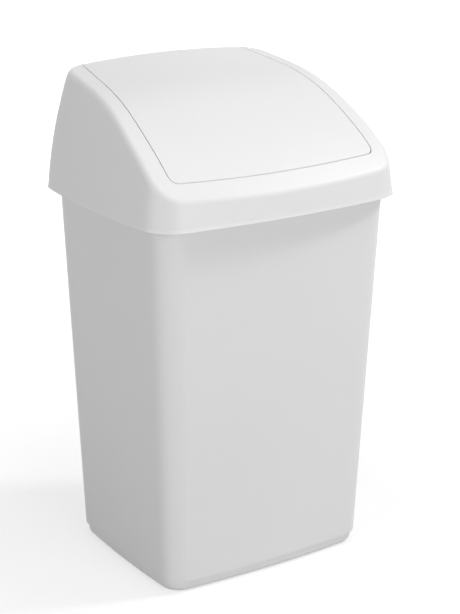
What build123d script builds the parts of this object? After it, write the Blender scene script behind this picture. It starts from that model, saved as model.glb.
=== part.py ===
# Swing-lid trash can: a tapered bucket, a dome hood that sits on its rim, and a
# flap that swings on two pins in the hood. Millimetres, +Z up, the front is -Y.
# The origin is the middle of the footprint, on the ground.
import os
from math import cos, degrees, sin

from build123d import *

# Bucket: outer sizes, measured at the middle of each side
base_width = 320.3
base_depth = 260.0
base_corner = 27.0
base_side_bow = 4.6
base_end_bow = 7.2
mouth_width = 361.7
mouth_depth = 296.4
mouth_corner = 35.7
mouth_side_bow = 3.5
mouth_end_bow = 5.4
bucket_height = 530.0
bucket_wall = 2.5
bucket_floor = 3.0

# Foot: the lowest part of the bucket, stepped in a little, which stands on a ring
foot_step_z = 17.0
foot_inset = 2.2
foot_round = 10.0
foot_corner_growth = 5.0
standing_ring_width = 9.0
standing_ring_height = 4.0

# Rim turned out from the bucket's mouth
rim_plate = 2.5
rim_turn_down = 13.0
rim_clearance = 3.0
rim_round = 1.8

# Hood: outer sizes at its lower edge, its shoulder and above its crown. The front and
# rear are measured from the middle, because the front leans back more than the rear.
hood_edge_z = 509.5
hood_shoulder_z = 595.0
hood_crown_z = 680.0
hood_width = 397.0
hood_front = 166.0
hood_rear = 165.3
hood_corner = 45.5
hood_shoulder_width = 364.4
hood_shoulder_front = 156.5
hood_shoulder_rear = 162.7
hood_crown_width = 307.2
hood_crown_front = 147.0
hood_crown_rear = 156.2
hood_crown_corner = 32.5
hood_side_bow = 12.0
hood_crown_side_bow = 6.0
hood_front_bow = 13.8
hood_rear_bow = 7.0
hood_wall = 2.5
crease_round = 9.5
least_round = 1.0
flare_height = 5.0
flare_proud = 0.6
flare_round = 0.4

# Arch of the hood's top along its middle: place and height from front to rear
arch_front = (-172.0, 533.3)
arch_brow = (-115.0, 584.0)
arch_slope = (-55.0, 620.7)
arch_turn = (5.0, 647.6)
arch_top = (75.0, 662.2)
arch_rear = (172.0, 674.5)
arch_steps = 8
# The top also falls towards the sides, by this much at the reference half width. The
# arch is made this many times wider than the hood, so that it passes the hood's sides.
crown_fall = 9.6
crown_half_width = 200.0
arch_overhang = 1.2

# Flap outline in plan
flap_front_y = -140.2
flap_front_bow = 10.4
flap_front_half = 155.1
flap_middle_half = 146.2
flap_rear_half = 123.0
flap_rear_y = 160.0
flap_corner = 11.0
flap_gap = 1.2
flap_wall = 2.5
flap_lip_depth = 9.0
flap_lip = 2.2
rear_split_z = 652.0
# Behind this line the top is high enough for the cuts to stop above the rear wall's edge
level_top_y = 120.0

# Edge flange of the opening and the seat behind the flap's rear edge
flange_depth = 10.0
flange = 2.2
seat_clearance = 2.2
seat = 2.2
seat_ledge = 9.0
seat_step = 2.2
seat_pad_width = 14.0
seat_pad_spacing = 72.0
seat_pad_gap = 0.3

# Swing hinge: pins on the flap, cradles under the hood's frame
pivot_y = -9.0
pivot_z = 628.0
pin_radius = 4.0
pin_clearance = 0.08
cradle_wall = 3.5
cradle_reach = 9.0
cradle_neck = 7.2
cradle_gap = 1.6
pin_proud = 1.5
pin_end_chamfer = 0.8
ear_wall = 3.0
ear_radius = 8.0
ear_setback = 1.2
gusset_reach = 9.0
gusset_wall = 2.0

# Ribs inside the skirt, on which the hood rests on the rim
rib_thickness = 2.2
rib_height = 26.0
rib_depth = 13.0
rib_toe = 4.0
end_rib_places = (45.0, 125.0)
side_rib_places = (-85.0, 0.0, 85.0)

# Stiffening ribs under the flap
flap_rib_height = 7.0
flap_rib_thickness = 1.8
flap_rib_places = (-88.0, 0.0, 88.0)
flap_cross_places = (-92.0, 52.0)


def along(z, low_z, high_z, low, high):
    """Size at height z on the straight taper between two levels."""
    return low + (high - low) * (z - low_z) / (high_z - low_z)


def through(z, low, middle, high):
    """Size at height z on the smooth curve through the hood's three levels."""
    edge, shoulder, crown = hood_edge_z, hood_shoulder_z, hood_crown_z
    share_low = (z - shoulder) * (z - crown) / ((edge - shoulder) * (edge - crown))
    share_middle = (z - edge) * (z - crown) / ((shoulder - edge) * (shoulder - crown))
    share_high = (z - edge) * (z - shoulder) / ((crown - edge) * (crown - shoulder))
    return low * share_low + middle * share_middle + high * share_high


def bowed_rectangle(z, width, front, rear, corner, side_bow, front_bow, rear_bow):
    """Face at height z: a rounded rectangle whose four sides bow out as arcs."""
    half_width = width / 2
    end_x = half_width - side_bow
    front_y, rear_y = front_bow - front, rear - rear_bow
    with BuildSketch(Plane.XY.offset(z)) as sketch:
        with BuildLine():
            ThreePointArc((-end_x, front_y), (0, -front), (end_x, front_y))
            ThreePointArc((end_x, front_y), (half_width, 0), (end_x, rear_y))
            ThreePointArc((end_x, rear_y), (0, rear), (-end_x, rear_y))
            ThreePointArc((-end_x, rear_y), (-half_width, 0), (-end_x, front_y))
        make_face()
        fillet(sketch.vertices(), corner)
    return sketch.sketch


def bucket_section(z, inset, corner_growth=0.0):
    """Outer section of the bucket at height z, held in by an inset."""
    half_depth = along(z, 0, bucket_height, base_depth, mouth_depth) / 2 - inset
    end_bow = along(z, 0, bucket_height, base_end_bow, mouth_end_bow)
    return bowed_rectangle(
        z,
        along(z, 0, bucket_height, base_width, mouth_width) - 2 * inset,
        half_depth,
        half_depth,
        along(z, 0, bucket_height, base_corner, mouth_corner) - inset + corner_growth,
        along(z, 0, bucket_height, base_side_bow, mouth_side_bow),
        end_bow,
        end_bow,
    )


def foot_section(z, inset):
    """Outer section of the bucket's foot at height z, held in by an inset."""
    return bucket_section(z, foot_inset + inset, foot_corner_growth)


def hood_half_width(z):
    """Half of the hood's outer width at height z."""
    return through(z, hood_width, hood_shoulder_width, hood_crown_width) / 2


def hood_rear_reach(z):
    """Reach of the hood's rear wall from the middle at height z."""
    return through(z, hood_rear, hood_shoulder_rear, hood_crown_rear)


def hood_section(z, inset):
    """Outer section of the hood at height z, held in by an inset."""
    return bowed_rectangle(
        z,
        2 * hood_half_width(z) - 2 * inset,
        through(z, hood_front, hood_shoulder_front, hood_crown_front) - inset,
        hood_rear_reach(z) - inset,
        along(z, hood_edge_z, hood_crown_z, hood_corner, hood_crown_corner) - inset,
        along(z, hood_edge_z, hood_crown_z, hood_side_bow, hood_crown_side_bow),
        hood_front_bow,
        hood_rear_bow,
    )


def arch_form(inset):
    """Solid under the crowned arch: the side profile swung about a far axis along Y."""
    crown_radius = (crown_half_width**2 + crown_fall**2) / (2 * crown_fall)
    axis_z = arch_top[1] - crown_radius
    half_swing = arch_overhang * hood_width / 2 / crown_radius
    lean = Vector(cos(half_swing), 0, sin(half_swing))
    foot_z = hood_edge_z - 2 * flange_depth - axis_z
    with BuildPart() as form:
        with BuildSketch(Plane(origin=(0, 0, axis_z), x_dir=(0, 1, 0), z_dir=lean)):
            with BuildLine():
                points = (arch_front, arch_brow, arch_slope, arch_turn, arch_top, arch_rear)
                skin = Spline(*[(y, z - axis_z) for y, z in points], mode=Mode.PRIVATE)
                inner_points = []
                for step in range(arch_steps + 1):
                    along_skin = skin % (step / arch_steps)
                    inwards = Vector(along_skin.Y, -along_skin.X)
                    inner_points.append(skin @ (step / arch_steps) + inwards * inset)
                top = Spline(*inner_points)
                Polyline(top @ 1, ((top @ 1).X, foot_z), ((top @ 0).X, foot_z), top @ 0)
            make_face()
        revolve(axis=Axis((0, 0, axis_z), (0, 1, 0)), revolution_arc=degrees(2 * half_swing))
    return form.part


def hood_form(inset):
    """Solid of the hood's outer shape, or of the same shape held in by an inset."""
    inset_round = max(crease_round - inset, least_round)
    with BuildPart() as form:
        levels = (hood_edge_z, hood_shoulder_z, hood_crown_z)
        loft(sections=[hood_section(z, inset) for z in levels])
        add(arch_form(inset), mode=Mode.INTERSECT)
        top = form.faces().sort_by(Axis.Z)[-1]
        fillet(top.edges(), inset_round)
    return form.part


def flap_outline(z, margin, rear_y):
    """Plan outline of the flap, grown by a margin and cut off square at rear_y."""
    front_y = flap_front_y - margin
    corner_x, corner_y = flap_front_half + margin, front_y + flap_front_bow
    middle_x = flap_middle_half + margin
    rear_x = flap_rear_half + margin
    with BuildSketch(Plane.XY.offset(z)) as sketch:
        with BuildLine():
            ThreePointArc((-corner_x, corner_y), (0, front_y), (corner_x, corner_y))
            ThreePointArc((corner_x, corner_y), (middle_x, 0), (rear_x, flap_rear_y))
            Line((rear_x, flap_rear_y), (-rear_x, flap_rear_y))
            ThreePointArc((-rear_x, flap_rear_y), (-middle_x, 0), (-corner_x, corner_y))
        make_face()
        fillet(sketch.vertices().group_by(Axis.Y)[0], flap_corner + margin)
        with Locations((0, rear_y)):
            Rectangle(hood_width, hood_width, align=(Align.CENTER, Align.MAX), mode=Mode.INTERSECT)
    return sketch.sketch


def flap_prism(margin, rear_z):
    """Upright prism on the flap's outline, which passes over the rear wall above rear_z."""
    with BuildPart() as prism:
        extrude(flap_outline(prism_foot_z, margin, level_top_y), amount=hood_crown_z - prism_foot_z)
        extrude(flap_outline(rear_z, margin, flap_rear_y), amount=hood_crown_z - rear_z)
    return prism.part


def plate_under_skin(margin, depth, rear_z):
    """Solid plate under the hood's skin, as large as the flap grown by a margin."""
    with BuildPart() as plate:
        add(skin_middle)
        add(hood_form(depth), mode=Mode.SUBTRACT)
        add(flap_prism(margin, rear_z), mode=Mode.INTERSECT)
    return plate.part


def rear_strip(z, margin, height):
    """Upright strip inside the hood's rear wall, as wide as the flap grown by a margin."""
    with BuildPart() as strip:
        with BuildSketch(Plane.XY.offset(z)):
            add(flap_outline(0, margin, flap_rear_y))
            with Locations((0, rear_inside_y - seat_ledge)):
                Rectangle(hood_width, hood_width, align=(Align.CENTER, Align.MIN), mode=Mode.INTERSECT)
        extrude(amount=height)
    return strip.part


os.makedirs("parts", exist_ok=True)

# Levels and lines that follow from the sizes above
prism_foot_z = bucket_height
rear_inside_y = hood_rear_reach(rear_split_z) - hood_rear_bow - hood_wall - seat_clearance - seat
seat_foot_z = rear_split_z - seat_step
seat_back = hood_wall + seat_clearance
cradle_x = flap_middle_half + flap_gap + cradle_gap
cradle_foot_z = pivot_z - cradle_reach
ear_x = flap_middle_half - ear_setback - ear_wall
rim_half_width = hood_half_width(bucket_height)
rim_half_depth = hood_rear_reach(bucket_height)

outer_form = hood_form(0)
inner_form = hood_form(hood_wall)
skin_middle = hood_form(hood_wall / 2)

# Bucket: one tapered moulding, open at the top, that stands on a ring round its base.
# Its rim is turned outwards and down, and follows the inside of the hood's skirt.
rim_inset = hood_wall + rim_clearance
with BuildPart() as rim:
    extrude(hood_section(bucket_height, rim_inset), amount=-rim_turn_down)
    fillet(rim.faces().sort_by(Axis.Z)[-1].edges(), rim_round)
    extrude(
        hood_section(bucket_height - rim_plate, rim_inset + rim_plate),
        amount=-rim_turn_down,
        mode=Mode.SUBTRACT,
    )

inside_foot_z = standing_ring_height + bucket_floor
inside_step_z = foot_step_z + bucket_wall
with BuildPart() as bucket_inside:
    loft(sections=[foot_section(z, bucket_wall) for z in (inside_foot_z, inside_step_z)])
    fillet(bucket_inside.faces().sort_by(Axis.Z)[0].edges(), foot_round - bucket_wall)
    loft(sections=[bucket_section(z, bucket_wall) for z in (inside_step_z, bucket_height)])

with BuildPart() as bin_body:
    loft(sections=[foot_section(z, 0) for z in (0, foot_step_z)])
    fillet(bin_body.faces().sort_by(Axis.Z)[0].edges(), foot_round)
    loft(sections=[bucket_section(z, 0) for z in (foot_step_z, bucket_height)])
    add(rim.part)
    add(bucket_inside.part, mode=Mode.SUBTRACT)
    extrude(
        foot_section(0, foot_round + standing_ring_width),
        amount=standing_ring_height,
        mode=Mode.SUBTRACT,
    )
bin_body.part.label = "bin_body"
export_step(bin_body.part, "parts/bin_body.step")

# Hood: one moulding that drops over the rim. Its skin is the arched form, which flares
# out a little at its lower edge, with an opening for the flap. The flare's upper end lies
# inside the wall, so that its face leaves the wall at the flare's height.
flare_root = hood_wall / 2
flare_rise = flare_height * (flare_proud + flare_root) / flare_proud
with BuildPart() as edge_flare:
    loft(
        sections=[
            hood_section(hood_edge_z, -flare_proud),
            hood_section(hood_edge_z + flare_rise, flare_root),
        ]
    )
    fillet(edge_flare.faces().sort_by(Axis.Z)[0].edges(), flare_round)

# The seat is a stepped wall behind the flap's rear edge. The flap rests on its two pads.
with BuildPart() as rear_seat:
    add(hood_form(seat_back))
    add(hood_form(seat_back + seat), mode=Mode.SUBTRACT)
    seat_height = hood_crown_z - seat_foot_z
    add(rear_strip(seat_foot_z, -flap_lip - seat_clearance, seat_height), mode=Mode.INTERSECT)

with BuildPart() as seat_shelf:
    add(skin_middle)
    add(hood_form(seat_back + seat), mode=Mode.SUBTRACT)
    add(rear_strip(seat_foot_z, flap_gap + flange, seat_step), mode=Mode.INTERSECT)

with BuildPart() as seat_pads:
    with BuildSketch(Plane.XY.offset(seat_foot_z)):
        with Locations((0, rear_inside_y)):
            with GridLocations(seat_pad_spacing, 0, 2, 1):
                Rectangle(seat_pad_width, seat_ledge, align=(Align.CENTER, Align.MAX))
    extrude(amount=hood_crown_z - seat_foot_z)
    add(hood_form(hood_wall + seat_pad_gap), mode=Mode.INTERSECT)
    add(hood_form(seat_back + seat / 2), mode=Mode.SUBTRACT)

# A cradle is a plate under the frame with a round seat for the pin, open downwards at a
# neck narrower than the pin, so that the pin snaps in from below.
with BuildPart() as cradles:
    with BuildSketch(Plane.YZ.offset(cradle_x)):
        with Locations((pivot_y, cradle_foot_z)):
            Rectangle(2 * cradle_reach, hood_crown_z - cradle_foot_z, align=(Align.CENTER, Align.MIN))
    extrude(amount=cradle_wall)
    for side in (-1, 1):
        gusset_y = pivot_y + side * (cradle_reach - gusset_wall / 2)
        with BuildSketch(Plane.XZ.offset(-gusset_y)):
            with BuildLine():
                back_x = cradle_x + cradle_wall
                top_z = pivot_z + cradle_reach
                Polyline(
                    (back_x, cradle_foot_z),
                    (back_x + gusset_reach, top_z),
                    (back_x, top_z),
                    close=True,
                )
            make_face()
        extrude(amount=gusset_wall / 2, both=True)
    add(skin_middle, mode=Mode.INTERSECT)
    mirror(about=Plane.YZ)

# The keyhole passes through the cradle and the opening's flange in front of it
with BuildPart() as keyholes:
    with BuildSketch(Plane.YZ.offset(flap_middle_half)):
        with Locations((pivot_y, pivot_z)):
            Circle(pin_radius + pin_clearance)
            Rectangle(cradle_neck, 2 * cradle_reach, align=(Align.CENTER, Align.MAX))
    extrude(amount=cradle_x + 2 * cradle_wall - flap_middle_half)
    mirror(about=Plane.YZ)

# Ribs inside the skirt stand on the rim and carry the hood
with BuildPart() as skirt_ribs:
    for rib_x in end_rib_places:
        with BuildSketch(Plane.YZ.offset(rib_x)):
            with BuildLine():
                toe_y = rim_half_depth - hood_wall - rib_depth
                Polyline(
                    (toe_y, bucket_height),
                    (rim_half_depth, bucket_height),
                    (rim_half_depth, bucket_height + rib_height),
                    (toe_y, bucket_height + rib_toe),
                    close=True,
                )
            make_face()
        extrude(amount=rib_thickness / 2, both=True)
    mirror(about=Plane.YZ)
    mirror(about=Plane.XZ)
with BuildPart() as side_ribs:
    for rib_y in side_rib_places:
        with BuildSketch(Plane.XZ.offset(-rib_y)):
            with BuildLine():
                toe_x = rim_half_width - hood_wall - rib_depth
                Polyline(
                    (toe_x, bucket_height),
                    (rim_half_width, bucket_height),
                    (rim_half_width, bucket_height + rib_height),
                    (toe_x, bucket_height + rib_toe),
                    close=True,
                )
            make_face()
        extrude(amount=rib_thickness / 2, both=True)
    mirror(about=Plane.YZ)
with BuildPart() as ribs:
    add(skirt_ribs.part)
    add(side_ribs.part)
    add(skin_middle, mode=Mode.INTERSECT)

with BuildPart() as hood:
    add(outer_form)
    add(edge_flare.part)
    add(inner_form, mode=Mode.SUBTRACT)
    add(plate_under_skin(flap_gap + flange, flange_depth, seat_foot_z))
    add(flap_prism(flap_gap, rear_split_z), mode=Mode.SUBTRACT)
    add(seat_shelf.part)
    add(rear_seat.part)
    add(seat_pads.part)
    add(cradles.part)
    add(keyholes.part, mode=Mode.SUBTRACT)
    add(ribs.part)
hood.part.label = "hood"
export_step(hood.part, "parts/hood.step")

# Flap: one moulding, the piece of the hood's skin inside the opening, with a lip turned
# down round it, ribs across its underside, and a pin on an ear at each side.
with BuildPart() as flap_ribs:
    with BuildSketch(Plane.XY.offset(prism_foot_z)):
        with Locations(*[(x, 0) for x in flap_rib_places]):
            Rectangle(flap_rib_thickness, hood_width)
        with Locations(*[(0, y) for y in flap_cross_places]):
            Rectangle(hood_width, flap_rib_thickness)
    extrude(amount=hood_crown_z - prism_foot_z)
    ribs_rear_y = rear_inside_y - seat_ledge - seat_clearance
    extrude(
        flap_outline(prism_foot_z, -flap_lip / 2, ribs_rear_y),
        amount=hood_crown_z - prism_foot_z,
        mode=Mode.INTERSECT,
    )
    add(skin_middle, mode=Mode.INTERSECT)
    add(hood_form(flap_wall + flap_rib_height), mode=Mode.SUBTRACT)

with BuildPart() as pivots:
    with BuildSketch(Plane.YZ.offset(ear_x)):
        with Locations((pivot_y, pivot_z)):
            Circle(ear_radius)
            Rectangle(2 * ear_radius, hood_crown_z - pivot_z, align=(Align.CENTER, Align.MIN))
    extrude(amount=ear_wall)
    add(skin_middle, mode=Mode.INTERSECT)
    with BuildSketch(Plane.YZ.offset(ear_x)):
        with Locations((pivot_y, pivot_z)):
            Circle(pin_radius)
    extrude(amount=cradle_x + cradle_wall + pin_proud - ear_x)
    chamfer(pivots.faces().sort_by(Axis.X)[-1].edges(), pin_end_chamfer)
    mirror(about=Plane.YZ)

with BuildPart() as flap_hollow:
    add(hood_form(flap_wall))
    add(flap_prism(-flap_lip, rear_split_z), mode=Mode.INTERSECT)

with BuildPart() as swing_flap:
    add(outer_form)
    add(hood_form(flap_lip_depth), mode=Mode.SUBTRACT)
    add(flap_hollow.part, mode=Mode.SUBTRACT)
    add(flap_prism(0, rear_split_z + flap_gap), mode=Mode.INTERSECT)
    add(flap_ribs.part)
    add(pivots.part)
swing_flap.part.label = "swing_flap"
export_step(swing_flap.part, "parts/swing_flap.step")
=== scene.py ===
import math

import bmesh
import bpy
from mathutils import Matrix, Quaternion, Vector


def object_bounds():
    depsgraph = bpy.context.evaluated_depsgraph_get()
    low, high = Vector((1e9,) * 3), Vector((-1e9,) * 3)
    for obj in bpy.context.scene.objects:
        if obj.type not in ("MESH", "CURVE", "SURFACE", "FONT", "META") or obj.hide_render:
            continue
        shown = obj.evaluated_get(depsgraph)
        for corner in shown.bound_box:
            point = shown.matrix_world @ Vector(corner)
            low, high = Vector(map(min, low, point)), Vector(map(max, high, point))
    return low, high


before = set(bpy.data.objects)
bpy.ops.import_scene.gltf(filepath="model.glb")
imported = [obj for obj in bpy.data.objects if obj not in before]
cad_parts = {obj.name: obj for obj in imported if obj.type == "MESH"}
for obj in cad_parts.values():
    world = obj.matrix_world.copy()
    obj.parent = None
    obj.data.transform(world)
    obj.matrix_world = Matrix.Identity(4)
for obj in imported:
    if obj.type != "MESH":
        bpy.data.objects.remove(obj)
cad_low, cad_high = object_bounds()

# Bucket. The real piece is one tapered moulding of white polypropylene, satin from the
# mould. It stands on the floor, and its rim is hidden under the hood.
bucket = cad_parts["bin_body"]
plastic_white = (0.833, 0.832, 0.831, 1.0)
plastic_specular = 0.35
satin_low = 0.38
satin_high = 0.46
flow_scale = 6.0
flow_detail = 2.0
flow_start = 0.3
flow_end = 0.7
flow_darkest = 0.985
grain_scale = 900.0
grain_detail = 3.0
grain_strength = 0.15
bucket_grain_depth = 0.00003


def satin_plastic(name, grain_depth):
    """Satin moulded plastic: a white with faint flow marks, where the gloss varies a
    little too, and the fine grain of the mould. The grain's depth is in metres."""
    material = bpy.data.materials.new(name)
    material.use_nodes = True
    nodes, links = material.node_tree.nodes, material.node_tree.links
    shader = nodes["Principled BSDF"]
    shader.inputs["Specular IOR Level"].default_value = plastic_specular
    place = nodes.new("ShaderNodeTexCoord")
    flow = nodes.new("ShaderNodeTexNoise")
    flow.inputs["Scale"].default_value = flow_scale
    flow.inputs["Detail"].default_value = flow_detail
    shade = nodes.new("ShaderNodeValToRGB")
    darkest, lightest = shade.color_ramp.elements
    darkest.position = flow_start
    darkest.color = tuple(share * flow_darkest for share in plastic_white[:3]) + (1.0,)
    lightest.position = flow_end
    lightest.color = plastic_white
    satin = nodes.new("ShaderNodeMapRange")
    satin.inputs["To Min"].default_value = satin_low
    satin.inputs["To Max"].default_value = satin_high
    grain = nodes.new("ShaderNodeTexNoise")
    grain.inputs["Scale"].default_value = grain_scale
    grain.inputs["Detail"].default_value = grain_detail
    bump = nodes.new("ShaderNodeBump")
    bump.inputs["Strength"].default_value = grain_strength
    bump.inputs["Distance"].default_value = grain_depth
    links.new(place.outputs["Object"], flow.inputs["Vector"])
    links.new(place.outputs["Object"], grain.inputs["Vector"])
    links.new(flow.outputs["Fac"], shade.inputs["Fac"])
    links.new(shade.outputs["Color"], shader.inputs["Base Color"])
    links.new(flow.outputs["Fac"], satin.inputs["Value"])
    links.new(satin.outputs["Result"], shader.inputs["Roughness"])
    links.new(grain.outputs["Fac"], bump.inputs["Height"])
    links.new(bump.outputs["Normal"], shader.inputs["Normal"])
    return material


bucket.data.materials.clear()
bucket.data.materials.append(satin_plastic("bucket_satin", bucket_grain_depth))

# Hood. The real piece is one moulding of the same plastic, with a slightly finer grain.
# It drops over the bucket's rim and rests there by its weight.
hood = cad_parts["hood"]
hood_grain_depth = 0.00002
hood.data.materials.clear()
hood.data.materials.append(satin_plastic("hood_satin", hood_grain_depth))

# Flap. The real piece is one arched moulding of the same plastic, as fine as the hood.
# Its two pins are moulded on it and snap into the hood's cradles.
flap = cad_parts["swing_flap"]
flap.data.materials.clear()
flap.data.materials.append(satin_plastic("flap_satin", hood_grain_depth))

# Floor and studio. The bin stands on a white floor, which takes its soft shadow and
# fades into a white surround.
floor_half = 6.0
floor_mesh = bpy.data.meshes.new("floor")
shape = bmesh.new()
bmesh.ops.create_grid(shape, x_segments=1, y_segments=1, size=floor_half)
shape.to_mesh(floor_mesh)
shape.free()
floor = bpy.data.objects.new("floor", floor_mesh)
bpy.context.scene.collection.objects.link(floor)


def backdrop_rays(nodes, links):
    """Socket that is 1 for the camera's rays and for those that metal or glass sends on."""
    seen = nodes.new("ShaderNodeLightPath")
    direct = nodes.new("ShaderNodeMath")
    direct.operation = "MAXIMUM"
    every = nodes.new("ShaderNodeMath")
    every.operation = "MAXIMUM"
    links.new(seen.outputs["Is Camera Ray"], direct.inputs[0])
    links.new(seen.outputs["Is Glossy Ray"], direct.inputs[1])
    links.new(direct.outputs[0], every.inputs[0])
    links.new(seen.outputs["Is Transmission Ray"], every.inputs[1])
    return every.outputs[0]


white = (1.0, 1.0, 1.0, 1.0)
paper_grey = (0.5, 0.5, 0.5, 1.0)
glow_near_reach = 0.3
glow_far_reach = 2.0
glow_near = 0.6
glow_far = 1.0

floor_material = bpy.data.materials.new("white_floor")
floor_material.use_nodes = True
nodes, links = floor_material.node_tree.nodes, floor_material.node_tree.links
nodes.clear()
out = nodes.new("ShaderNodeOutputMaterial")
paper = nodes.new("ShaderNodeBsdfDiffuse")
paper.inputs["Color"].default_value = paper_grey
glow = nodes.new("ShaderNodeEmission")
glow.inputs["Color"].default_value = white
spot = nodes.new("ShaderNodeTexCoord")
reach = nodes.new("ShaderNodeVectorMath")
reach.operation = "LENGTH"
fade = nodes.new("ShaderNodeMapRange")
fade.inputs["From Min"].default_value = glow_near_reach
fade.inputs["From Max"].default_value = glow_far_reach
fade.inputs["To Min"].default_value = glow_near
fade.inputs["To Max"].default_value = glow_far
lit_paper = nodes.new("ShaderNodeAddShader")
surface = nodes.new("ShaderNodeMixShader")
links.new(spot.outputs["Object"], reach.inputs[0])
links.new(reach.outputs["Value"], fade.inputs["Value"])
links.new(fade.outputs["Result"], glow.inputs["Strength"])
links.new(paper.outputs[0], lit_paper.inputs[0])
links.new(glow.outputs[0], lit_paper.inputs[1])
links.new(backdrop_rays(nodes, links), surface.inputs["Fac"])
links.new(paper.outputs[0], surface.inputs[1])
links.new(lit_paper.outputs[0], surface.inputs[2])
links.new(surface.outputs[0], out.inputs["Surface"])
floor_mesh.materials.append(floor_material)

room_light = 0.21
backdrop_strength = 1.0
world = bpy.data.worlds.new("studio")
bpy.context.scene.world = world
world.use_nodes = True
nodes, links = world.node_tree.nodes, world.node_tree.links
nodes.clear()
out = nodes.new("ShaderNodeOutputWorld")
room = nodes.new("ShaderNodeBackground")
room.inputs["Color"].default_value = white
room.inputs["Strength"].default_value = room_light
backdrop = nodes.new("ShaderNodeBackground")
backdrop.inputs["Color"].default_value = white
backdrop.inputs["Strength"].default_value = backdrop_strength
surround = nodes.new("ShaderNodeMixShader")
links.new(backdrop_rays(nodes, links), surround.inputs["Fac"])
links.new(room.outputs[0], surround.inputs[1])
links.new(backdrop.outputs[0], surround.inputs[2])
links.new(surround.outputs[0], out.inputs["Surface"])

bin_middle = Vector((0.0, 0.0, (cad_low.z + cad_high.z) / 2))


def softbox(name, place, size, power):
    """Square area lamp that faces the middle of the bin, in metres and watts."""
    lamp = bpy.data.lights.new(name, "AREA")
    lamp.shape = "SQUARE"
    lamp.size = size
    lamp.energy = power
    holder = bpy.data.objects.new(name, lamp)
    holder.location = place
    facing = (bin_middle - Vector(place)).to_track_quat("-Z", "Y")
    holder.rotation_euler = facing.to_euler()
    bpy.context.scene.collection.objects.link(holder)


softbox("right_key", place=(2.1, -0.96, 2.53), size=0.4, power=30.5)
softbox("top_softbox", place=(0.2, -0.4, 3.2), size=2.4, power=28.5)
softbox("left_softbox", place=(-2.4, -0.4, 1.1), size=1.2, power=16.0)
softbox("low_front_softbox", place=(0.2, -3.3, 0.5), size=2.0, power=53.0)
softbox("low_rear_softbox", place=(1.2, 2.8, 0.5), size=1.6, power=16.0)

# Camera. It looks down on the bin's front left corner from a little way off, through a
# long lens, as in a product picture. The picture's sizes are in its pixels.
camera_turn = math.radians(-33.14)
camera_rise = math.radians(18.88)
camera_roll = math.radians(0.19)
camera_distance = 2.357
camera_aim = Vector((0.0, 0.0, 0.334))
picture_long_side = 614
picture_middle_x, picture_middle_y = 230.0, 307.0
principal_x, principal_y = 219.8, 313.3
focal_pixels = 1721.6
sensor_width = 36

camera_data = bpy.data.cameras.new("camera")
camera_data.lens = focal_pixels * sensor_width / picture_long_side
camera_data.shift_x = (picture_middle_x - principal_x) / picture_long_side
camera_data.shift_y = (principal_y - picture_middle_y) / picture_long_side
camera = bpy.data.objects.new("camera", camera_data)
away = Vector((
    math.sin(camera_turn) * math.cos(camera_rise),
    -math.cos(camera_turn) * math.cos(camera_rise),
    math.sin(camera_rise),
))
camera.location = camera_aim + away * camera_distance
facing = (-away).to_track_quat("-Z", "Y")
camera.rotation_euler = (facing @ Quaternion((0.0, 0.0, 1.0), camera_roll)).to_euler()
bpy.context.scene.collection.objects.link(camera)
bpy.context.scene.camera = camera
bpy.context.scene.view_settings.view_transform = "Standard"
